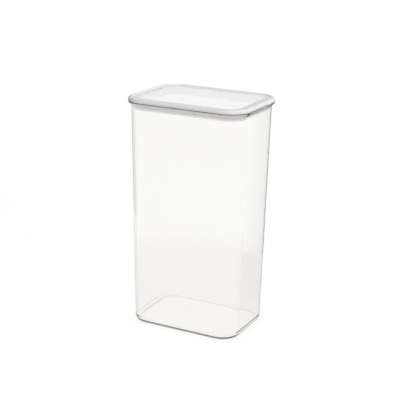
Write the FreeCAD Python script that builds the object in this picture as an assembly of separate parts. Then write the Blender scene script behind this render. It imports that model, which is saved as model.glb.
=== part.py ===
import FreeCAD, Part

import math
import os

from FreeCAD import Vector

# A clear food canister with a press-in lid, in millimetres. It stands on z = 0 with the origin under
# the middle of its base, its long sides along X and its depth along Y.

# Body: the foot sizes are where the slanted walls would meet the table
foot_length = 131.0
foot_width = 93.5
body_corner_radius = 21.5
body_height = 257.0
wall_draft_degrees = 0.85
wall_thickness = 2.0
floor_thickness = 2.0
foot_round = 4.4
floor_round = 4.4

# Lip that turns out round the mouth and carries the lid
lip_reach = 3.3
lip_edge_height = 0.7
lip_taper_height = 3.6
lip_edge_bevel = 0.3
mouth_lead_in = 0.2

# Lid frame: a rim that stops short of the lip, a sunken ledge, a land that rests on the mouth, a skirt
lid_overhang = 3.5
rim_height = 5.0
rim_width = 4.6
rim_round = 3.0
rim_wall = 1.9
reveal_height = 0.8
land_reach = 1.1
crest_bevel = 0.4
recess_depth = 1.0
recess_slope = 0.4
ledge_thickness = 1.2
ledge_overlap = 2.1
deck_thickness = 1.8
skirt_depth = 8.25
skirt_thickness = 1.8
skirt_gap = 1.5
skirt_lead_in = 0.3

# Window panel, bonded up against the underside of the ledge
window_flange_thickness = 1.5
window_clearance = 0.1
window_edge_bevel = 0.3

# Gasket ring in the groove of the skirt
groove_depth = 0.5
groove_height = 5.0
groove_above_skirt_edge = 0.6
gasket_seat_clearance = 0.05
gasket_band = 0.5
fin_count = 2
fin_root = 1.1
fin_tip = 0.5
fin_clearance = 0.35

# What follows from those sizes
wall_slope = math.tan(math.radians(wall_draft_degrees))
mouth_length = foot_length + 2 * wall_slope * body_height
mouth_width = foot_width + 2 * wall_slope * body_height
rim_top = body_height + rim_height
ledge_top = rim_top - recess_depth
ledge_underside = ledge_top - ledge_thickness
skirt_edge = body_height - skirt_depth
groove_low = skirt_edge + groove_above_skirt_edge
groove_high = groove_low + groove_height

# Faces of the lid, as distances outwards from the outline of the mouth
skirt_outer = -wall_thickness - wall_slope * skirt_depth - skirt_gap
skirt_inner = skirt_outer - skirt_thickness
window_opening = skirt_inner - ledge_overlap


def rounded_rectangle(length, width, radius, height):
    """Flat closed outline with four tangent corner arcs, centred on the origin."""
    x = length / 2 - radius
    y = width / 2 - radius
    reach = radius * math.sqrt(0.5)
    edges = []
    for turn, corner_x, corner_y in ((0, x, y), (90, -x, y), (180, -x, -y), (270, x, -y)):
        across, along = (x, y) if turn % 180 == 0 else (y, x)
        side = Part.makeLine(Vector(across + radius, -along, 0), Vector(across + radius, along, 0))
        side.rotate(Vector(), Vector(0, 0, 1), turn)
        arc = Part.Arc(Vector(radius, 0, 0), Vector(reach, reach, 0), Vector(0, radius, 0)).toShape()
        arc.rotate(Vector(), Vector(0, 0, 1), turn)
        arc.translate(Vector(corner_x, corner_y, 0))
        edges += [side, arc]
    outline = Part.Wire(edges)
    outline.translate(Vector(0, 0, height))
    return outline


def wall_outline(inset, height):
    """Outline of the slanted walls at a height, set in from their outer faces."""
    growth = 2 * wall_slope * height - 2 * inset
    return rounded_rectangle(
        foot_length + growth, foot_width + growth, body_corner_radius - inset, height
    )


def wall_block(inset, low, high, bottom_round):
    """Solid block between the slanted walls, standing on a slab with a rounded bottom edge."""
    spring = low + bottom_round
    walls = Part.makeLoft([wall_outline(inset, spring), wall_outline(inset, high)], True, True)
    slab = Part.Face(wall_outline(inset, spring)).extrude(Vector(0, 0, 2 * bottom_round))
    slab.translate(Vector(0, 0, -bottom_round))
    bottom_edges = [edge for edge in slab.Edges if edge.BoundBox.ZMax < spring]
    return walls.fuse(slab.makeFillet(bottom_round, bottom_edges))


def rounded_section(corners):
    """Upright face through (outwards, height, radius) corners, each turned by a tangent arc."""
    points = [Vector(outwards, 0, height) for outwards, height, _ in corners]
    edges = []
    tangent_ends = []
    for index, (_, _, radius) in enumerate(corners):
        here = points[index]
        before = (points[index - 1] - here).normalize()
        after = (points[(index + 1) % len(points)] - here).normalize()
        half_angle = before.getAngle(after) / 2
        setback = radius / math.tan(half_angle)
        start = here + before * setback
        end = here + after * setback
        if radius > 0:
            bisector = (before + after).normalize()
            middle = here + bisector * (radius / math.sin(half_angle) - radius)
            edges.append(Part.Arc(start, middle, end).toShape())
        tangent_ends.append((start, end))
    for index, (start, _) in enumerate(tangent_ends):
        edges.append(Part.makeLine(tangent_ends[index - 1][1], start))
    return Part.Face(Part.Wire(Part.__sortEdges__(edges)))


def mouth_ring(corners):
    """Moulded ring: a section carried along the sides of the mouth and turned through its corners."""
    x = mouth_length / 2 - body_corner_radius
    y = mouth_width / 2 - body_corner_radius
    centres = [Vector(x, -y, 0), Vector(x, y, 0), Vector(-x, y, 0), Vector(-x, -y, 0)]
    section = rounded_section(corners)
    section.translate(Vector(body_corner_radius, 0, 0))
    pieces = []
    for index, start in enumerate(centres):
        end = centres[(index + 1) % len(centres)]
        side = section.copy()
        side.rotate(Vector(), Vector(0, 0, 1), 90 * index)
        side.translate(start)
        pieces.append(side.extrude(end - start))
        side.translate(end - start)
        pieces.append(side.revolve(end, Vector(0, 0, 1), 90))
    return pieces[0].fuse(pieces[1:]).removeSplitter()


def mouth_slab(outwards, low, high):
    """Flat slab whose outline lies a distance outwards from the mouth's."""
    outline = rounded_rectangle(
        mouth_length + 2 * outwards, mouth_width + 2 * outwards, body_corner_radius + outwards, low
    )
    return Part.Face(outline).extrude(Vector(0, 0, high - low))


def make_body():
    """Clear box with slanted walls, a rounded foot and an out-turned lip with a tapered underside."""
    shell = wall_block(0, 0, body_height, foot_round)
    buried = -wall_thickness / 2
    lip_root = body_height - lip_edge_height - lip_taper_height * (lip_reach - buried) / lip_reach
    lip = mouth_ring([
        (buried, body_height, 0),
        (lip_reach - lip_edge_bevel, body_height, 0),
        (lip_reach, body_height - lip_edge_bevel, 0),
        (lip_reach, body_height - lip_edge_height, 0),
        (buried, lip_root, 0),
    ])
    cavity = wall_block(wall_thickness, floor_thickness, body_height + wall_thickness, floor_round)
    lead_in = mouth_ring([
        (-wall_thickness + 2 * mouth_lead_in, body_height + mouth_lead_in, 0),
        (-wall_thickness - mouth_lead_in, body_height - 2 * mouth_lead_in, 0),
        (-wall_thickness - mouth_lead_in, body_height + mouth_lead_in, 0),
    ])
    return shell.fuse(lip).cut(cavity).cut(lead_in).removeSplitter()


def make_lid_frame():
    """White ring with a rounded rim, a sunken ledge, a grooved skirt, and a core between rim and land."""
    crest_edge = lid_overhang - rim_width
    crown_round = min(rim_round, rim_width - crest_bevel, rim_height - reveal_height)
    core_top = ledge_top - deck_thickness
    rim_edge = body_height + reveal_height
    land_edge = land_reach - wall_thickness
    return mouth_ring([
        (lid_overhang, rim_edge, 0),
        (lid_overhang, rim_top, crown_round),
        (crest_edge + crest_bevel, rim_top, 0),
        (crest_edge, rim_top - crest_bevel, 0),
        (crest_edge - recess_slope, ledge_top, 0),
        (window_opening, ledge_top, 0),
        (window_opening, ledge_underside, 0),
        (skirt_inner, ledge_underside, 0),
        (skirt_inner, skirt_edge, 0),
        (skirt_outer - skirt_lead_in, skirt_edge, 0),
        (skirt_outer, skirt_edge + skirt_lead_in, 0),
        (skirt_outer, groove_low, 0),
        (skirt_outer - groove_depth, groove_low, 0),
        (skirt_outer - groove_depth, groove_high, 0),
        (skirt_outer, groove_high, 0),
        (skirt_outer, body_height, 0),
        (land_edge, body_height, 0),
        (land_edge, core_top, 0),
        (lid_overhang - rim_wall, core_top, 0),
        (lid_overhang - rim_wall, rim_edge, 0),
    ])


def make_lid_window():
    """Clear stepped panel: a flange under the ledge and a pad that fills the opening level with it."""
    flange = mouth_slab(
        skirt_inner - window_clearance, ledge_underside - window_flange_thickness, ledge_underside
    )
    pad = mouth_slab(window_opening - window_clearance, ledge_underside, ledge_top)
    top_edges = [edge for edge in pad.Edges if edge.BoundBox.ZMin > ledge_underside]
    top_edges = [edge for edge in top_edges if edge.BoundBox.ZLength < window_edge_bevel]
    return flange.fuse(pad.makeChamfer(window_edge_bevel, top_edges)).removeSplitter()


def make_gasket():
    """Soft ring whose foot lies in the groove and whose fins reach almost to the wall."""
    foot = skirt_outer - groove_depth + gasket_seat_clearance
    band = skirt_outer + gasket_band
    low = groove_low + gasket_seat_clearance
    high = groove_high - gasket_seat_clearance
    wall_at_fins = -wall_thickness - wall_slope * (body_height - low)
    tip = wall_at_fins - fin_clearance
    pitch = (high - low) / fin_count
    corners = [(foot, low, 0), (band, low, 0)]
    for fin in range(fin_count):
        middle = low + pitch * (fin + 0.5)
        corners += [
            (band, middle - fin_root / 2, 0),
            (tip, middle - fin_tip / 2, 0),
            (tip, middle + fin_tip / 2, 0),
            (band, middle + fin_root / 2, 0),
        ]
    corners += [(band, high, 0), (foot, high, 0)]
    return mouth_ring(corners)


pieces = {
    "body": make_body(),
    "lid_frame": make_lid_frame(),
    "lid_window": make_lid_window(),
    "gasket": make_gasket(),
}

os.makedirs("parts", exist_ok=True)
for name, piece in pieces.items():
    piece.exportStep(f"parts/{name}.step")
    box = piece.optimalBoundingBox()
    print(f"{name}: {len(piece.Solids)} solid, {piece.Volume / 1000:.1f} cm3, valid {piece.isValid()},"
          f" {box.XLength:.1f} x {box.YLength:.1f} x {box.ZLength:.1f} mm")
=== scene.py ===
# %% [markdown]
# # A clear food canister
# The object is a tall box of clear moulded plastic with a white-framed lid. Its sizes come from the
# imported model, which is loaded first and never moved. Every piece is then drawn again as a smooth
# surface, because clear plastic shows each facet of a coarse mesh in its highlights and edges.

# %% Load the frame
import math

import bpy
import numpy as np
from mathutils import Matrix, Vector


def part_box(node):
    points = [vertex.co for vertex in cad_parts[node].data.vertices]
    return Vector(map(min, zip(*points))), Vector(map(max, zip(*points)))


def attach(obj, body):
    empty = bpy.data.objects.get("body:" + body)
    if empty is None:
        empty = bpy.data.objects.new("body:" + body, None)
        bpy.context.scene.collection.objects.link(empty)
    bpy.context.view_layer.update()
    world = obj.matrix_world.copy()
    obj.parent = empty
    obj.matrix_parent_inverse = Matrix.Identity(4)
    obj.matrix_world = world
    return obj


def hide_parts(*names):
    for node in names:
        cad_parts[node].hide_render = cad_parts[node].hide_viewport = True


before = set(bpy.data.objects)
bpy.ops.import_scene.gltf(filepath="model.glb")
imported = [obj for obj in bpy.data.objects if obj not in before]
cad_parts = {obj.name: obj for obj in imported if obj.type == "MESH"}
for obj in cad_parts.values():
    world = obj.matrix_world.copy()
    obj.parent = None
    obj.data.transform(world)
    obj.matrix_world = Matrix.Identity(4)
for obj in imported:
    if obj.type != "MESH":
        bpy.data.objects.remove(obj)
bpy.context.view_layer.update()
MM = 0.001

# %% [markdown]
# ## Camera
# The camera was worked out from the straight edges of the canister: its base, its walls and its lid
# meet the picture's lines at only one distance, height and lens. It stands to the right of the front,
# a little above the lid, and leans by about one degree. Building the three axes by hand keeps that lean.

# %% Camera
CAMERA_AZIMUTH = math.radians(27.0)
CAMERA_ELEVATION = math.radians(17.13)
CAMERA_ROLL = math.radians(1.12)
CAMERA_DISTANCE = 1175.7
CAMERA_TARGET = (0.1, 0.0, 142.8)
FOCAL_PIXELS = 1039.2
PICTURE_PIXELS = 400
SENSOR_WIDTH = 36.0


def camera_axes(azimuth, elevation, roll):
    """Right, up and backward unit vectors of a camera that leans by roll about its own view line."""
    back = Vector((math.sin(azimuth) * math.cos(elevation),
                   -math.cos(azimuth) * math.cos(elevation),
                   math.sin(elevation)))
    level = Vector((math.cos(azimuth), math.sin(azimuth), 0.0))
    upright = back.cross(level)
    right = math.cos(roll) * level + math.sin(roll) * upright
    up = -math.sin(roll) * level + math.cos(roll) * upright
    return right, up, back


right, up, back = camera_axes(CAMERA_AZIMUTH, CAMERA_ELEVATION, CAMERA_ROLL)
eye = (Vector(CAMERA_TARGET) + CAMERA_DISTANCE * back) * MM
camera = bpy.data.objects.new("camera", bpy.data.cameras.new("camera"))
camera.data.sensor_width = SENSOR_WIDTH
camera.data.lens = SENSOR_WIDTH * FOCAL_PIXELS / PICTURE_PIXELS
camera.matrix_world = Matrix.Translation(eye) @ Matrix((right, up, back)).transposed().to_4x4()
bpy.context.scene.collection.objects.link(camera)
bpy.context.scene.camera = camera
bpy.context.scene.view_settings.view_transform = "Standard"
print("camera at", [round(c, 3) for c in eye], "m, lens", round(camera.data.lens, 1), "mm")

# %% [markdown]
# ## Light paths
# Light that enters a clear wall often runs on inside it and is mirrored many times before it comes out,
# most of all in the base. With too few bounces those paths end black, and with blurred gloss the inside
# turns grey, so paths are long here and the blur is off.

# %% Light paths
PATH_BOUNCES = 128

paths = bpy.context.scene.cycles
paths.blur_glossy = 0.0
paths.max_bounces = PATH_BOUNCES
paths.glossy_bounces = PATH_BOUNCES
paths.transmission_bounces = PATH_BOUNCES
paths.transparent_max_bounces = PATH_BOUNCES
print("paths of up to", PATH_BOUNCES, "bounces")

# %% [markdown]
# ## Sizes from the frame
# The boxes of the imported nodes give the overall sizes. The wall, the rounds and the small gaps inside a
# section can't be read from a box, so they are named here in millimetres.

# %% Sizes
WALL = 2.0
FLOOR = 2.0
FOOT_ROUND = 4.4
FLOOR_ROUND = 4.4
LIP_REACH = 3.3
LIP_EDGE = 0.7
LIP_TAPER = 3.6
WALL_SLANT = math.tan(math.radians(0.85))
CORNER_RADIUS = 21.5

body_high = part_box("body")[1]
frame_low, frame_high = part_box("lid_frame")
window_low, window_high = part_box("lid_window")
gasket_low, gasket_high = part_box("gasket")
mouth_height = body_high.z / MM
mouth_half_length = body_high.x / MM - LIP_REACH
mouth_half_width = body_high.y / MM - LIP_REACH
rim_top = frame_high.z / MM
ledge_top = window_high.z / MM
skirt_edge = frame_low.z / MM
lid_overhang = frame_high.x / MM - mouth_half_length
window_flange = window_high.x / MM - mouth_half_length
print(f"mouth {2 * mouth_half_length:.1f} x {2 * mouth_half_width:.1f} mm at {mouth_height:.1f} mm,"
      f" lid overhang {lid_overhang:.2f} mm")

# %% [markdown]
# ## Sections carried round the mouth
# Body, lid frame, window and seal are all rings round the same rounded rectangle, so each is described
# by one section: a line of corners, every corner turned by a small arc.

# %% Section
ARC_POINTS = 7


def section(corners, closed):
    """Points and directions of a line through (outwards, height, radius) corners, in millimetres.

    A corner that turns by angle a with radius r is an arc that starts r tan(a/2) before it. Along the
    arc the direction turns evenly from the old one to the new one, and the point is the arc's centre
    plus r times the arc's outward normal. An open line keeps its first and last corner as plain ends.
    """
    corners = np.array(corners, float)
    points, radii = corners[:, :2], corners[:, 2]
    into = points - np.roll(points, 1, 0)
    into /= np.linalg.norm(into, axis=1, keepdims=True)
    out = np.roll(into, -1, 0)
    turn = np.arctan2(into[:, 0] * out[:, 1] - into[:, 1] * out[:, 0], (into * out).sum(1))
    first_heading = np.arctan2(into[:, 1], into[:, 0])
    heading = first_heading[:, None] + turn[:, None] * np.linspace(0, 1, ARC_POINTS)
    directions = np.stack([np.cos(heading), np.sin(heading)], -1)
    left = np.stack([-np.sin(heading), np.cos(heading)], -1)
    reach = (radii * np.sign(turn))[:, None]
    start = points - into * (radii * np.tan(np.abs(turn) / 2))[:, None]
    arcs = (start + reach * left[:, 0])[:, None] - reach[..., None] * left
    if closed:
        return arcs.reshape(-1, 2), directions.reshape(-1, 2)
    inner = slice(1, -1)
    line = np.concatenate([points[:1], arcs[inner].reshape(-1, 2), points[-1:]])
    bearings = np.concatenate([out[:1], directions[inner].reshape(-1, 2), into[-1:]])
    return line, bearings


print("each corner of a section is an arc of", ARC_POINTS, "points")

# %% [markdown]
# The section is carried along the rectangle as one array. The normals come from the same formula, so flat
# walls stay optically flat and the arcs stay round, which a clear material needs more than any other.

# %% Carry a section round
CORNER_STEPS = 32


def carry_round(line, bearings, slant):
    """Grid of points and normals: a section carried round the mouth's outline.

    With reach o and height h of the section, corner signs (sx, sy) and angle t of the outline:
    x = sx (a + s - r) + (r + o) cos t, y = sy (b + s - r) + (r + o) sin t, z = h,
    where a and b are half the mouth's length and width, r its corner radius, and
    s = slant (h - mouth height) draws the walls in towards the foot.
    The normal is the outline's direction crossed with the section's direction.
    """
    quarter = np.arange(4)
    angle = (np.pi / 2 * (quarter[:, None] + np.linspace(0, 1, CORNER_STEPS + 1))).ravel()
    sign_x = np.repeat([1, -1, -1, 1], CORNER_STEPS + 1)
    sign_y = np.repeat([1, 1, -1, -1], CORNER_STEPS + 1)
    cos, sin = np.cos(angle), np.sin(angle)
    reach, height = line[:, :1], line[:, 1:]
    reach_rate, height_rate = bearings[:, :1], bearings[:, 1:]
    shift = slant * (height - mouth_height)
    x = sign_x * (mouth_half_length + shift - CORNER_RADIUS) + (CORNER_RADIUS + reach) * cos
    y = sign_y * (mouth_half_width + shift - CORNER_RADIUS) + (CORNER_RADIUS + reach) * sin
    points = np.stack([x, y, np.broadcast_to(height, x.shape)], -1) * MM
    rate_x = sign_x * slant * height_rate + reach_rate * cos
    rate_y = sign_y * slant * height_rate + reach_rate * sin
    normals = np.stack([cos * height_rate, sin * height_rate, -(cos * rate_x + sin * rate_y)], -1)
    return points, normals / np.linalg.norm(normals, axis=-1, keepdims=True)


print("each corner of the mouth has", CORNER_STEPS, "steps")

# %% [markdown]
# The grid becomes a mesh. A section that closes on itself, as the frame's does, gives a ring.
# An open one, such as the body's, leaves a hole at each end, and a fan of flat faces fills it.

# %% Ring to mesh


def ring_piece(name, corners, closed, slant=0.0):
    """A closed mesh from a section: joined to itself, or capped by a fan of faces at each end."""
    line, bearings = section(corners, closed)
    points, normals = carry_round(line, bearings, slant)
    rows, columns = points.shape[:2]
    index = np.arange(rows * columns).reshape(rows, columns)
    lower = index if closed else index[:-1]
    upper = np.roll(index, -1, 0) if closed else index[1:]
    quads = np.stack([lower, np.roll(lower, -1, 1), np.roll(upper, -1, 1), upper], -1)
    faces = quads.reshape(-1, 4).tolist()
    vertices, directions = points.reshape(-1, 3), normals.reshape(-1, 3)
    if not closed:
        ends = points[[0, -1]].mean(1)
        vertices = np.concatenate([vertices, ends])
        directions = np.concatenate([directions, normals[[0, -1], 0]])
        first, last = rows * columns + np.arange(2)
        bottom = np.stack([np.full(columns, first), np.roll(index[0], -1), index[0]], -1)
        top = np.stack([index[-1], np.roll(index[-1], -1), np.full(columns, last)], -1)
        faces += bottom.tolist() + top.tolist()
    mesh = bpy.data.meshes.new(name)
    mesh.from_pydata(vertices, [], faces)
    mesh.shade_smooth()
    mesh.normals_split_custom_set_from_vertices(directions)
    piece = bpy.data.objects.new(name, mesh)
    bpy.context.scene.collection.objects.link(piece)
    size = np.ptp(vertices, axis=0) / MM
    print(f"{name}: {len(vertices)} points, {len(faces)} faces, {size.round(1)} mm")
    return piece


# %% [markdown]
# ## Body
# The body is one injection-moulded shell. Its section starts under the base, turns up round the foot,
# climbs the slanted wall, flares into the lip that carries the lid, and comes back down the inside to
# the floor. Drawing inside and outside in one line gives the wall its true thickness, so light bends at
# both faces as it does in the real plastic.

# %% Body
CAP_INSET = 12.0
LIP_ROOT_ROUND = 0.8
EDGE_ROUND = 0.25

lip_low = mouth_height - LIP_EDGE
body = ring_piece("canister_body", [
    (-CAP_INSET, 0.0, 0.0),
    (0.0, 0.0, FOOT_ROUND),
    (0.0, lip_low - LIP_TAPER, LIP_ROOT_ROUND),
    (LIP_REACH, lip_low, EDGE_ROUND),
    (LIP_REACH, mouth_height, EDGE_ROUND),
    (-WALL, mouth_height, EDGE_ROUND),
    (-WALL, FLOOR, FLOOR_ROUND),
    (-CAP_INSET, FLOOR, 0.0),
], closed=False, slant=WALL_SLANT)

# %% [markdown]
# ## Lid frame
# The white frame is a moulded ring. Its rim is rounded over on the outside and steps down inside to a
# ledge, which keeps the foot of a second canister from sliding off. Below it hangs the skirt that goes
# into the mouth, with the groove for the seal. The underside is cored out, as thick plastic would sink.
# A land inside the rim rests on the mouth, but the rim itself stops short of the lip: that reveal is the
# dark line between lid and body.

# %% Lid frame
RIM_WIDTH = 4.6
RIM_ROUND = 3.0
RIM_WALL = 1.9
REVEAL = 0.8
LAND_REACH = 1.1
CREST_ROUND = 0.7
RECESS_SLOPE = 0.4
RECESS_ROUND = 0.85
LEDGE_THICKNESS = 1.2
LEDGE_OVERLAP = 2.1
DECK = 1.8
SKIRT_THICKNESS = 1.8
SKIRT_LEAD_IN = 0.3
WINDOW_CLEARANCE = 0.1
GROOVE_DEPTH = 0.5
SEAT_CLEARANCE = 0.05
SEAT_GAP = 0.05
INNER_ROUND = 0.15
SEAM_ROUND = 0.08

skirt_inner = window_flange + WINDOW_CLEARANCE
skirt_outer = skirt_inner + SKIRT_THICKNESS
window_opening = skirt_inner - LEDGE_OVERLAP
ledge_underside = ledge_top - LEDGE_THICKNESS
groove_low = gasket_low.z / MM - SEAT_CLEARANCE
groove_high = gasket_high.z / MM + SEAT_CLEARANCE
crest_edge = lid_overhang - RIM_WIDTH
core_top = ledge_top - DECK
rim_low = mouth_height + REVEAL
land_low = mouth_height + SEAT_GAP
land_edge = LAND_REACH - WALL
lid_frame = ring_piece("lid_frame_moulding", [
    (lid_overhang, rim_low, EDGE_ROUND),
    (lid_overhang, rim_top, RIM_ROUND),
    (crest_edge, rim_top, CREST_ROUND),
    (crest_edge - RECESS_SLOPE, ledge_top, RECESS_ROUND),
    (window_opening, ledge_top, SEAM_ROUND),
    (window_opening, ledge_underside, INNER_ROUND),
    (skirt_inner, ledge_underside, INNER_ROUND),
    (skirt_inner, skirt_edge, SKIRT_LEAD_IN),
    (skirt_outer, skirt_edge, SKIRT_LEAD_IN),
    (skirt_outer, groove_low, INNER_ROUND),
    (skirt_outer - GROOVE_DEPTH, groove_low, INNER_ROUND),
    (skirt_outer - GROOVE_DEPTH, groove_high, INNER_ROUND),
    (skirt_outer, groove_high, INNER_ROUND),
    (skirt_outer, land_low, INNER_ROUND),
    (land_edge, land_low, INNER_ROUND),
    (land_edge, core_top, INNER_ROUND),
    (lid_overhang - RIM_WALL, core_top, INNER_ROUND),
    (lid_overhang - RIM_WALL, rim_low, INNER_ROUND),
], closed=True)

# %% [markdown]
# ## Lid window
# The window is a stepped clear panel: a flange bonded up under the ledge, and a pad that fills the
# opening level with the ledge. A hair of air between the pad and the ledge draws its outline.

# %% Lid window
BOND_GAP = 0.05
SEAM = 0.03
PANEL_INSET = 12.0

pad_edge = window_opening - SEAM
flange_top = ledge_underside - BOND_GAP
window_bottom = window_low.z / MM
lid_window = ring_piece("lid_window_panel", [
    (-PANEL_INSET, window_bottom, 0.0),
    (window_flange, window_bottom, EDGE_ROUND),
    (window_flange, flange_top, INNER_ROUND),
    (pad_edge, flange_top, INNER_ROUND),
    (pad_edge, ledge_top, SEAM_ROUND),
    (-PANEL_INSET, ledge_top, 0.0),
], closed=False)

# %% [markdown]
# ## Seal
# A soft white ring is stretched into the groove of the skirt. Two fins reach out from it almost to the
# wall; on the real lid they bend and hold it. The section is a comb: a foot in the groove and two teeth.

# %% Seal
BAND = 0.5
FIN_COUNT = 2
FIN_ROOT = 1.1
FIN_TIP = 0.5
FIN_ROUND = 0.2

gasket_foot = skirt_outer - GROOVE_DEPTH + SEAT_CLEARANCE
gasket_band = skirt_outer + BAND
gasket_bottom, gasket_top = gasket_low.z / MM, gasket_high.z / MM
fin_tip = gasket_high.x / MM - mouth_half_length
fin_pitch = (gasket_top - gasket_bottom) / FIN_COUNT
comb = [(gasket_foot, gasket_bottom, INNER_ROUND), (gasket_band, gasket_bottom, INNER_ROUND)]
for fin in range(FIN_COUNT):
    middle = gasket_bottom + fin_pitch * (fin + 0.5)
    comb += [
        (gasket_band, middle - FIN_ROOT / 2, INNER_ROUND),
        (fin_tip, middle - FIN_TIP / 2, FIN_ROUND),
        (fin_tip, middle + FIN_TIP / 2, FIN_ROUND),
        (gasket_band, middle + FIN_ROOT / 2, INNER_ROUND),
    ]
comb += [(gasket_band, gasket_top, INNER_ROUND), (gasket_foot, gasket_top, INNER_ROUND)]
seal = ring_piece("lid_seal", comb, closed=True)

# %% [markdown]
# ## Materials
# Colours are written as sRGB hex values, as a paint chart gives them, and one function turns them into
# the linear values that the shader works in. One more function adds a node with its settings and links.
# A node that is handed to another one stands for its first output in use, which keeps the sums short.

# %% Material helpers


def linear(hex_colour):
    """sRGB hex to linear RGBA: c / 12.92 below 0.04045, else ((c + 0.055) / 1.055) to the power 2.4."""
    srgb = np.array([int(hex_colour[i:i + 2], 16) for i in (1, 3, 5)]) / 255
    rgb = np.where(srgb <= 0.04045, srgb / 12.92, ((srgb + 0.055) / 1.055) ** 2.4)
    return (*rgb.tolist(), 1.0)


def add_node(tree, kind, settings=None, ordered=(), **inputs):
    """A new node with its settings; its inputs, in order or by name, are values, sockets or nodes."""
    node = tree.nodes.new(kind)
    for name, value in (settings or {}).items():
        setattr(node, name, value)
    named = [(node.inputs[name.replace("_", " ")], value) for name, value in inputs.items()]
    for socket, value in list(zip(node.inputs, ordered)) + named:
        if isinstance(value, bpy.types.Node):
            value = next(output for output in value.outputs if output.enabled)
        if isinstance(value, bpy.types.NodeSocket):
            tree.links.new(value, socket)
        else:
            socket.default_value = value
    return node


def new_material(name):
    """An empty node material with its output node."""
    material = bpy.data.materials.new(name)
    material.use_nodes = True
    material.node_tree.nodes.clear()
    output = material.node_tree.nodes.new("ShaderNodeOutputMaterial")
    return material, material.node_tree, output


print("linear value of a mid grey:", round(linear("#808080")[0], 3))

# %% [markdown]
# ### Clear styrene-acrylonitrile
# Clear canisters are moulded from styrene-acrylonitrile or a like glassy plastic with an index of about
# 1.57. The polished mould leaves it smooth, with a faint slow wave where the melt flowed, and use leaves
# a thin uneven haze. The plastic swallows a few hundredths of the light in each wall, a little more of
# the blue, and the lid's window is a shade greyer. Where light runs along inside the plastic, at the
# upright edges and in the base, that adds up to lines.

# %% Clear plastic
CLEAR_IOR = 1.57
CLEAR_WHITE = "#FFFFFF"
FLOW_WAVE = 45.0
FLOW_DEPTH = 0.01
HAZE_PATCH = 18.0
HAZE_SPAN = (0.35, 0.75)
HAZE_ROUGHNESS = 0.04
WINDOW_SHADE = "#E8E8E8"
WINDOW_ABSORBS = 102.0


def clear_plastic(name, shade, absorbed_per_metre, edges=None):
    """Moulded clear plastic: refraction, a slow flow wave as bump, patches of haze, absorption inside.

    The surface is white all over, or has the painted edge shade that the function edges gives it.
    """
    material, tree, output = new_material(name)
    place = add_node(tree, "ShaderNodeTexCoord").outputs["Object"]
    wave = add_node(tree, "ShaderNodeTexNoise", Vector=place, Scale=1 / (FLOW_WAVE * MM), Detail=1.0)
    haze = add_node(tree, "ShaderNodeTexNoise", Vector=place, Scale=1 / (HAZE_PATCH * MM), Detail=4.0)
    roughness = add_node(tree, "ShaderNodeMapRange", Value=haze, From_Min=HAZE_SPAN[0],
                         From_Max=HAZE_SPAN[1], To_Min=0.0, To_Max=HAZE_ROUGHNESS)
    bump = add_node(tree, "ShaderNodeBump", Height=wave, Strength=1.0, Distance=FLOW_DEPTH * MM)
    colour = edges(tree) if edges else linear(CLEAR_WHITE)
    shader = add_node(tree, "ShaderNodeBsdfPrincipled", Base_Color=colour, IOR=CLEAR_IOR,
                      Transmission_Weight=1.0, Roughness=roughness, Normal=bump)
    absorb = add_node(tree, "ShaderNodeVolumeAbsorption", Color=linear(shade), Density=absorbed_per_metre)
    tree.links.new(shader.outputs["BSDF"], output.inputs["Surface"])
    tree.links.new(absorb.outputs["Volume"], output.inputs["Volume"])
    return material


window_plastic = clear_plastic("clear_styrene_acrylonitrile_window", WINDOW_SHADE, WINDOW_ABSORBS)
lid_window.data.materials.append(window_plastic)
print("clear plastic on", lid_window.name)

# %% [markdown]
# The body's upright corners, its foot and the top of its lip are where light runs furthest inside the
# plastic before it reaches the eye, so a real canister has fine dark edges there. The paths that a render
# follows lose a part of that, and painted shade makes up for it: a grey painted into the plastic's
# colour at a glancing angle, kept to those places.

# %% Painted edge shade of the body
BODY_SHADE = "#E8E5DA"
BODY_ABSORBS = 48.0
# Painted shade: the grey painted into the body's colour at glancing corners and at the foot
PAINTED_EDGE_GREY = "#A0A0A0"
EDGE_GLANCE = (0.66, 0.82)
CORNER_ALONG = (44.0, 50.0)
CORNER_ACROSS = (25.0, 31.0)
FOOT_RISE = (3.0, 5.0)
# Painted shade: the darker grey painted onto the top of the lip at a glancing angle
PAINTED_LIP_GREY = "#6C6C6C"
LIP_GLANCE = (0.3, 0.6)
LIP_SKIN = (-0.4, -0.1)


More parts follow.
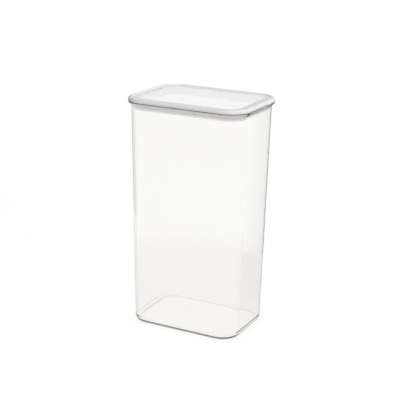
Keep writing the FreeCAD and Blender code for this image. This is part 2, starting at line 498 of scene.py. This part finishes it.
def painted_edge_shade(tree):
    """Painted shade: white in full view, a grey painted in at a glancing angle on a corner, the foot or the
    lip's top.

    Each pair of limits gives a rise from 0 to 1. The edge's painted grey has the share
    glance max(rise x rise y, 1 - rise z), and the lip's painted grey the share glance rise z.
    """
    place = add_node(tree, "ShaderNodeTexCoord").outputs["Object"]
    sides = add_node(tree, "ShaderNodeVectorMath", {"operation": "ABSOLUTE"}, (place,))
    x, y, z = add_node(tree, "ShaderNodeSeparateXYZ", Vector=sides).outputs
    facing = add_node(tree, "ShaderNodeLayerWeight").outputs["Facing"]
    lip_rise = [mouth_height + skin for skin in LIP_SKIN]
    along, across, above_foot, at_lip, edge_glance, lip_glance = (
        add_node(tree, "ShaderNodeMapRange", Value=value, From_Min=low * unit, From_Max=high * unit)
        for value, (low, high), unit in (
            (x, CORNER_ALONG, MM), (y, CORNER_ACROSS, MM), (z, FOOT_RISE, MM), (z, lip_rise, MM),
            (facing, EDGE_GLANCE, 1.0), (facing, LIP_GLANCE, 1.0)))
    corner = add_node(tree, "ShaderNodeMath", {"operation": "MULTIPLY"}, (along, across))
    foot = add_node(tree, "ShaderNodeMath", {"operation": "SUBTRACT"}, (1.0, above_foot))
    either = add_node(tree, "ShaderNodeMath", {"operation": "MAXIMUM"}, (corner, foot))
    edge = add_node(tree, "ShaderNodeMath", {"operation": "MULTIPLY"}, (edge_glance, either))
    lip = add_node(tree, "ShaderNodeMath", {"operation": "MULTIPLY"}, (lip_glance, at_lip))
    painted_grey_edges = add_node(tree, "ShaderNodeMix", {"data_type": "RGBA"}, Factor=edge,
                      A=linear(CLEAR_WHITE), B=linear(PAINTED_EDGE_GREY))
    return add_node(tree, "ShaderNodeMix", {"data_type": "RGBA"}, Factor=lip,
                    A=painted_grey_edges, B=linear(PAINTED_LIP_GREY))


# The body's material carries the painted edge shade.
body_plastic = clear_plastic("clear_styrene_acrylonitrile_body", BODY_SHADE, BODY_ABSORBS, painted_edge_shade)
body.data.materials.append(body_plastic)
print("clear plastic with dark edges on", body.name)

# %% [markdown]
# ### White ABS
# The frame is moulded in white ABS. Its tool is spark-eroded to a fine satin, so highlights are soft and
# wide. Real grain is about a tenth of a millimetre; it is drawn four times coarser so that it shows.

# %% White frame plastic
FRAME_WHITES = ("#F2F1F3", "#F5F4F5")
FRAME_IOR = 1.53
FRAME_SPECULAR = 0.1
FRAME_ROUGHNESS = (0.5, 0.6)
NOISE_SPAN = (0.3, 0.7)
GRAIN = 0.4
GRAIN_DEPTH = 0.006
CLOUD = 18.0


def white_abs(name):
    """Satin white plastic: fine grain in the bump, slight clouds in the colour and the roughness."""
    material, tree, output = new_material(name)
    place = add_node(tree, "ShaderNodeTexCoord").outputs["Object"]
    grain = add_node(tree, "ShaderNodeTexNoise", Vector=place, Scale=1 / (GRAIN * MM), Detail=2.0)
    cloud = add_node(tree, "ShaderNodeTexNoise", Vector=place, Scale=1 / (CLOUD * MM), Detail=3.0)
    roughness = add_node(tree, "ShaderNodeMapRange", Value=cloud, From_Min=NOISE_SPAN[0],
                         From_Max=NOISE_SPAN[1], To_Min=FRAME_ROUGHNESS[0], To_Max=FRAME_ROUGHNESS[1])
    tint = add_node(tree, "ShaderNodeMix", {"data_type": "RGBA"}, Factor=cloud,
                    A=linear(FRAME_WHITES[0]), B=linear(FRAME_WHITES[1]))
    bump = add_node(tree, "ShaderNodeBump", Height=grain, Strength=1.0, Distance=GRAIN_DEPTH * MM)
    shader = add_node(tree, "ShaderNodeBsdfPrincipled", Base_Color=tint, IOR=FRAME_IOR,
                      Roughness=roughness, Normal=bump, Specular_IOR_Level=FRAME_SPECULAR)
    tree.links.new(shader.outputs["BSDF"], output.inputs["Surface"])
    return material


lid_frame.data.materials.append(white_abs("white_abs_satin"))
print("white ABS on", lid_frame.name)

# %% [markdown]
# ### White silicone
# The seal is moulded silicone rubber: duller and greyer than the frame, with a bloom of fine dust.

# %% White silicone
SEAL_WHITES = ("#E4E3E5", "#EAE9EB")
SEAL_IOR = 1.41
SEAL_ROUGHNESS = (0.55, 0.7)
BLOOM = 2.5


def white_silicone(name):
    """Dull white rubber whose roughness and colour vary with a fine bloom."""
    material, tree, output = new_material(name)
    place = add_node(tree, "ShaderNodeTexCoord").outputs["Object"]
    bloom = add_node(tree, "ShaderNodeTexNoise", Vector=place, Scale=1 / (BLOOM * MM), Detail=4.0)
    roughness = add_node(tree, "ShaderNodeMapRange", Value=bloom, From_Min=NOISE_SPAN[0],
                         From_Max=NOISE_SPAN[1], To_Min=SEAL_ROUGHNESS[0], To_Max=SEAL_ROUGHNESS[1])
    tint = add_node(tree, "ShaderNodeMix", {"data_type": "RGBA"}, Factor=bloom,
                    A=linear(SEAL_WHITES[0]), B=linear(SEAL_WHITES[1]))
    shader = add_node(tree, "ShaderNodeBsdfPrincipled", Base_Color=tint, IOR=SEAL_IOR,
                      Roughness=roughness)
    tree.links.new(shader.outputs["BSDF"], output.inputs["Surface"])
    return material


seal.data.materials.append(white_silicone("white_silicone_seal"))
print("silicone on", seal.name)

# %% [markdown]
# ## Pieces on their bodies
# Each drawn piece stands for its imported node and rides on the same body, so the whole lid lifts together.

# %% Ride and replace
for piece, body_name, node, slot in (
    (body, "container", "body", "clear_body"),
    (lid_frame, "lid", "lid_frame", "white_frame"),
    (lid_window, "lid", "lid_window", "clear_window"),
    (seal, "lid", "gasket", "white_seal"),
):
    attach(piece, body_name)
    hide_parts(node)
    print(piece.name, "stands for", node, "on", body_name)

# %% [markdown]
# ## Floor and light
# The canister stands on a plain pale floor in soft light that comes mostly from the right and from
# above, so the lid's left end and its upright faces are in soft shade. What the camera sees directly, in
# a reflection or through the clear plastic is white. A share of the floor stays plain, so the shadow is
# still there.

# %% Floor
FLOOR_SIZE = 24.0
FLOOR_DROP = 0.1


def seen_directly(tree):
    """1 for rays from the camera and for rays just mirrored or let through, 0 for scattered ones."""
    path = add_node(tree, "ShaderNodeLightPath")
    straight = add_node(tree, "ShaderNodeMath", {"operation": "ADD"},
                        (path.outputs["Is Camera Ray"], path.outputs["Is Glossy Ray"]))
    total = add_node(tree, "ShaderNodeMath", {"operation": "ADD", "use_clamp": True},
                     (straight, path.outputs["Is Transmission Ray"]))
    return total


half, level = FLOOR_SIZE / 2, -FLOOR_DROP * MM
floor_corners = [(x, y, level) for x, y in ((-half, -half), (half, -half), (half, half), (-half, half))]
floor_mesh = bpy.data.meshes.new("floor")
floor_mesh.from_pydata(floor_corners, [], [(0, 1, 2, 3)])
floor = bpy.data.objects.new("floor", floor_mesh)
bpy.context.scene.collection.objects.link(floor)
print("floor", FLOOR_SIZE, "m square")

# %% [markdown]
# In a reflection or through the plastic the floor's white is painted dimmer in places: painted shade
# within a hand's breadth of the canister, more painted shade behind its right end, where the plain floor's
# warm grey shows a little, and painted shade again far off. The walls and the base turn these painted
# shades into the soft greys that make clear plastic visible. Seen directly the floor is white, apart from
# a painted shadow close round the foot.

# %% Painted shade of the floor
PLAIN_FLOOR = "#CBC3BF"
WHITE_SHARE = 0.93
WHITE_STRENGTH = 1.041
# Painted shade on the floor's white, seen in reflections and through the plastic: near the canister, far
# off, and at a dim spot behind its right end
NEAR_SHADE_START = 190.0
NEAR_SHADE_END = 340.0
NEAR_SHADE_SHARE = 0.83
FAR_START = 550.0
FAR_END = 850.0
FAR_SHADE = 0.65
DIM_SPOT = (120.0, 160.0, 0.0)
DIM_NEAR = 60.0
DIM_FAR = 260.0
DIM_SHADE = 0.15
# Painted shadow round the foot, seen by the camera alone: a wide faint one and a narrow darker one at the
# contact
SHADOW_REACH = 12.0
SHADOW_DEPTH = 0.05
CONTACT_NEAR = -2.4
CONTACT_FAR = -1.0
CONTACT_DEPTH = 0.6

material, tree, output = new_material("pale_floor")
place = add_node(tree, "ShaderNodeTexCoord").outputs["Object"]
away = add_node(tree, "ShaderNodeVectorMath", {"operation": "LENGTH"}, (place,))
from_spot = add_node(tree, "ShaderNodeVectorMath", {"operation": "DISTANCE"},
                     (place, tuple(c * MM for c in DIM_SPOT)))

# Distance from the foot: how far a point is beyond the foot's straight core, less the corner radius
foot_slant = WALL_SLANT * mouth_height
core = np.array([mouth_half_length, mouth_half_width]) - foot_slant - CORNER_RADIUS
sides = add_node(tree, "ShaderNodeVectorMath", {"operation": "ABSOLUTE"}, (place,))
core_corner = (*(core * MM).tolist(), 0.0)
beyond = add_node(tree, "ShaderNodeVectorMath", {"operation": "SUBTRACT"}, (sides, core_corner))
outside = add_node(tree, "ShaderNodeVectorMath", {"operation": "MAXIMUM"}, (beyond, (0.0, 0.0, 0.0)))
from_core = add_node(tree, "ShaderNodeVectorMath", {"operation": "LENGTH"}, (outside,))
from_foot = add_node(tree, "ShaderNodeMath", {"operation": "SUBTRACT"}, (from_core, CORNER_RADIUS * MM))

near_shade, far, dim, wide, contact = (
    add_node(tree, "ShaderNodeMapRange", {"interpolation_type": "SMOOTHSTEP"}, Value=distance,
             From_Min=start * MM, From_Max=end * MM, To_Min=first, To_Max=last)
    for distance, start, end, first, last in (
        (away, NEAR_SHADE_START, NEAR_SHADE_END, NEAR_SHADE_SHARE, WHITE_SHARE),
        (away, FAR_START, FAR_END, 1.0, FAR_SHADE),
        (from_spot, DIM_NEAR, DIM_FAR, DIM_SHADE, 1.0),
        (from_foot, 0.0, SHADOW_REACH, SHADOW_DEPTH, 0.0),
        (from_foot, CONTACT_NEAR, CONTACT_FAR, CONTACT_DEPTH, 0.0)))
print("floor fades round a foot of", (2 * (core + CORNER_RADIUS)).round(1), "mm")

# %% [markdown]
# The painted shades are then joined by the kind of ray: the far and dim painted shade counts for mirrored
# rays alone, the painted shadow for the camera alone, and the near painted shade for everything that
# doesn't come straight to the camera.

# %% Floor shades
path = add_node(tree, "ShaderNodeLightPath")
camera_ray = path.outputs["Is Camera Ray"]
mirrored_ray = add_node(tree, "ShaderNodeMath", {"operation": "SUBTRACT", "use_clamp": True},
                        (path.outputs["Is Glossy Ray"], path.outputs["Is Transmission Ray"]))
# The far and dim painted shade, for mirrored rays alone, and the near painted shade
dark = add_node(tree, "ShaderNodeMath", {"operation": "MULTIPLY"}, (far, dim))
mirrored = add_node(tree, "ShaderNodeMath", {"operation": "POWER"}, (dark, mirrored_ray))
shaded = add_node(tree, "ShaderNodeMath", {"operation": "MULTIPLY"}, (near_shade, mirrored))
missing = add_node(tree, "ShaderNodeMath", {"operation": "SUBTRACT"}, (WHITE_SHARE, shaded))
seen = add_node(tree, "ShaderNodeMath", {"operation": "MULTIPLY_ADD"}, (camera_ray, missing, shaded))
share = add_node(tree, "ShaderNodeMath", {"operation": "MULTIPLY"}, (seen_directly(tree), seen))

# The painted shadow round the foot lowers the floor's white for camera rays alone
deeper = add_node(tree, "ShaderNodeMath", {"operation": "MAXIMUM"}, (wide, contact))
shadow = add_node(tree, "ShaderNodeMath", {"operation": "MULTIPLY"}, (deeper, camera_ray))
strength = add_node(tree, "ShaderNodeMath", {"operation": "MULTIPLY_ADD"},
                    (shadow, -WHITE_STRENGTH, WHITE_STRENGTH))
plain = add_node(tree, "ShaderNodeBsdfDiffuse", Color=linear(PLAIN_FLOOR))
white = add_node(tree, "ShaderNodeEmission", Color=linear("#FFFFFF"), Strength=strength)
mixed = add_node(tree, "ShaderNodeMixShader", ordered=(share, plain, white))
tree.links.new(mixed.outputs["Shader"], output.inputs["Surface"])
floor_mesh.materials.append(material)
print("floor", PLAIN_FLOOR, "with a white share of", WHITE_SHARE)

# %% [markdown]
# Two cards stand by the canister and show in reflections alone. The left one also keeps light off the
# lid's left end. They draw the dark lines down the upright edges, as a photographer's black flags do.
# Their soft ends fade to white, so that no hard-edged patch shows where a flat wall mirrors them.

# %% Dark cards


def dark_card(name, azimuth, distance, size, shine, soft, shades):
    """A card that faces the canister, mirrored with brightness shine, up to white at its soft ends.

    Its middle is the distance times (cos azimuth, sin azimuth). From there it reaches half its width to
    both sides along (sin azimuth, -cos azimuth), and it stands up from the floor by its height.
    """
    out = Vector((math.cos(math.radians(azimuth)), math.sin(math.radians(azimuth)), 0.0))
    along = Vector((out.y, -out.x, 0.0))
    half = size[0] / 2 * MM
    height = Vector((0.0, 0.0, size[1] * MM))
    middle = out * distance * MM
    ends = middle - along * half, middle + along * half
    mesh = bpy.data.meshes.new(name)
    mesh.from_pydata([ends[0], ends[1], ends[1] + height, ends[0] + height], [], [(0, 1, 2, 3)])
    card = bpy.data.objects.new(name, mesh)
    bpy.context.scene.collection.objects.link(card)
    card.visible_camera = False
    card.visible_transmission = False
    card.visible_diffuse = shades
    material, tree, output = new_material(name)
    place = add_node(tree, "ShaderNodeTexCoord").outputs["Object"]
    spot = add_node(tree, "ShaderNodeVectorMath", {"operation": "DOT_PRODUCT"}, (place, along))
    first = add_node(tree, "ShaderNodeMapRange", Value=spot, From_Min=-half, From_Max=soft[0] * MM - half,
                     To_Min=1.0, To_Max=shine)
    last = add_node(tree, "ShaderNodeMapRange", Value=spot, From_Min=half - soft[1] * MM, From_Max=half,
                    To_Min=shine, To_Max=1.0)
    level = add_node(tree, "ShaderNodeMath", {"operation": "MAXIMUM"}, (first, last))
    mirrored = add_node(tree, "ShaderNodeLightPath").outputs["Is Glossy Ray"]
    strength = add_node(tree, "ShaderNodeMath", {"operation": "MULTIPLY"}, (mirrored, level))
    shader = add_node(tree, "ShaderNodeEmission", Strength=strength)
    tree.links.new(shader.outputs["Emission"], output.inputs["Surface"])
    mesh.materials.append(material)
    print(name, size, "mm at", distance, "mm")


dark_card("dark_card_left", azimuth=187.0, distance=420.0, size=(600.0, 500.0), shine=0.25,
          soft=(260.0, 1.0), shades=True)
dark_card("dark_card_right", azimuth=76.3, distance=253.0, size=(244.0, 240.0), shine=0.0,
          soft=(1.0, 48.0), shades=False)

# %% [markdown]
# The light is one white sky with no lamps, as in a light tent. It grows brighter towards the right and
# the front, which shades the lid's left end, and shows as plain white wherever it is seen directly.

# %% Soft light
LIGHT_LEVEL = 0.76
LIGHT_LEAN = (0.76, -0.2, 0.0)
LIGHT_LEAST = 0.05

world = bpy.data.worlds.new("soft_light")
world.use_nodes = True
bpy.context.scene.world = world
tree = world.node_tree
tree.nodes.clear()
direction = add_node(tree, "ShaderNodeTexCoord").outputs["Generated"]
lean = add_node(tree, "ShaderNodeVectorMath", {"operation": "DOT_PRODUCT"}, (direction, LIGHT_LEAN))
full = add_node(tree, "ShaderNodeMath", {"operation": "ADD"}, (lean, LIGHT_LEVEL))
soft = add_node(tree, "ShaderNodeMath", {"operation": "MAXIMUM"}, (full, LIGHT_LEAST))
lift = add_node(tree, "ShaderNodeMath", {"operation": "SUBTRACT"}, (1.0, soft))
strength = add_node(tree, "ShaderNodeMath", {"operation": "MULTIPLY_ADD"},
                    (seen_directly(tree), lift, soft))
background = add_node(tree, "ShaderNodeBackground", Color=linear("#FFFFFF"), Strength=strength)
add_node(tree, "ShaderNodeOutputWorld", Surface=background)
print("soft light", LIGHT_LEVEL, "leaning", LIGHT_LEAN)

# %% Finish
print("scene built")
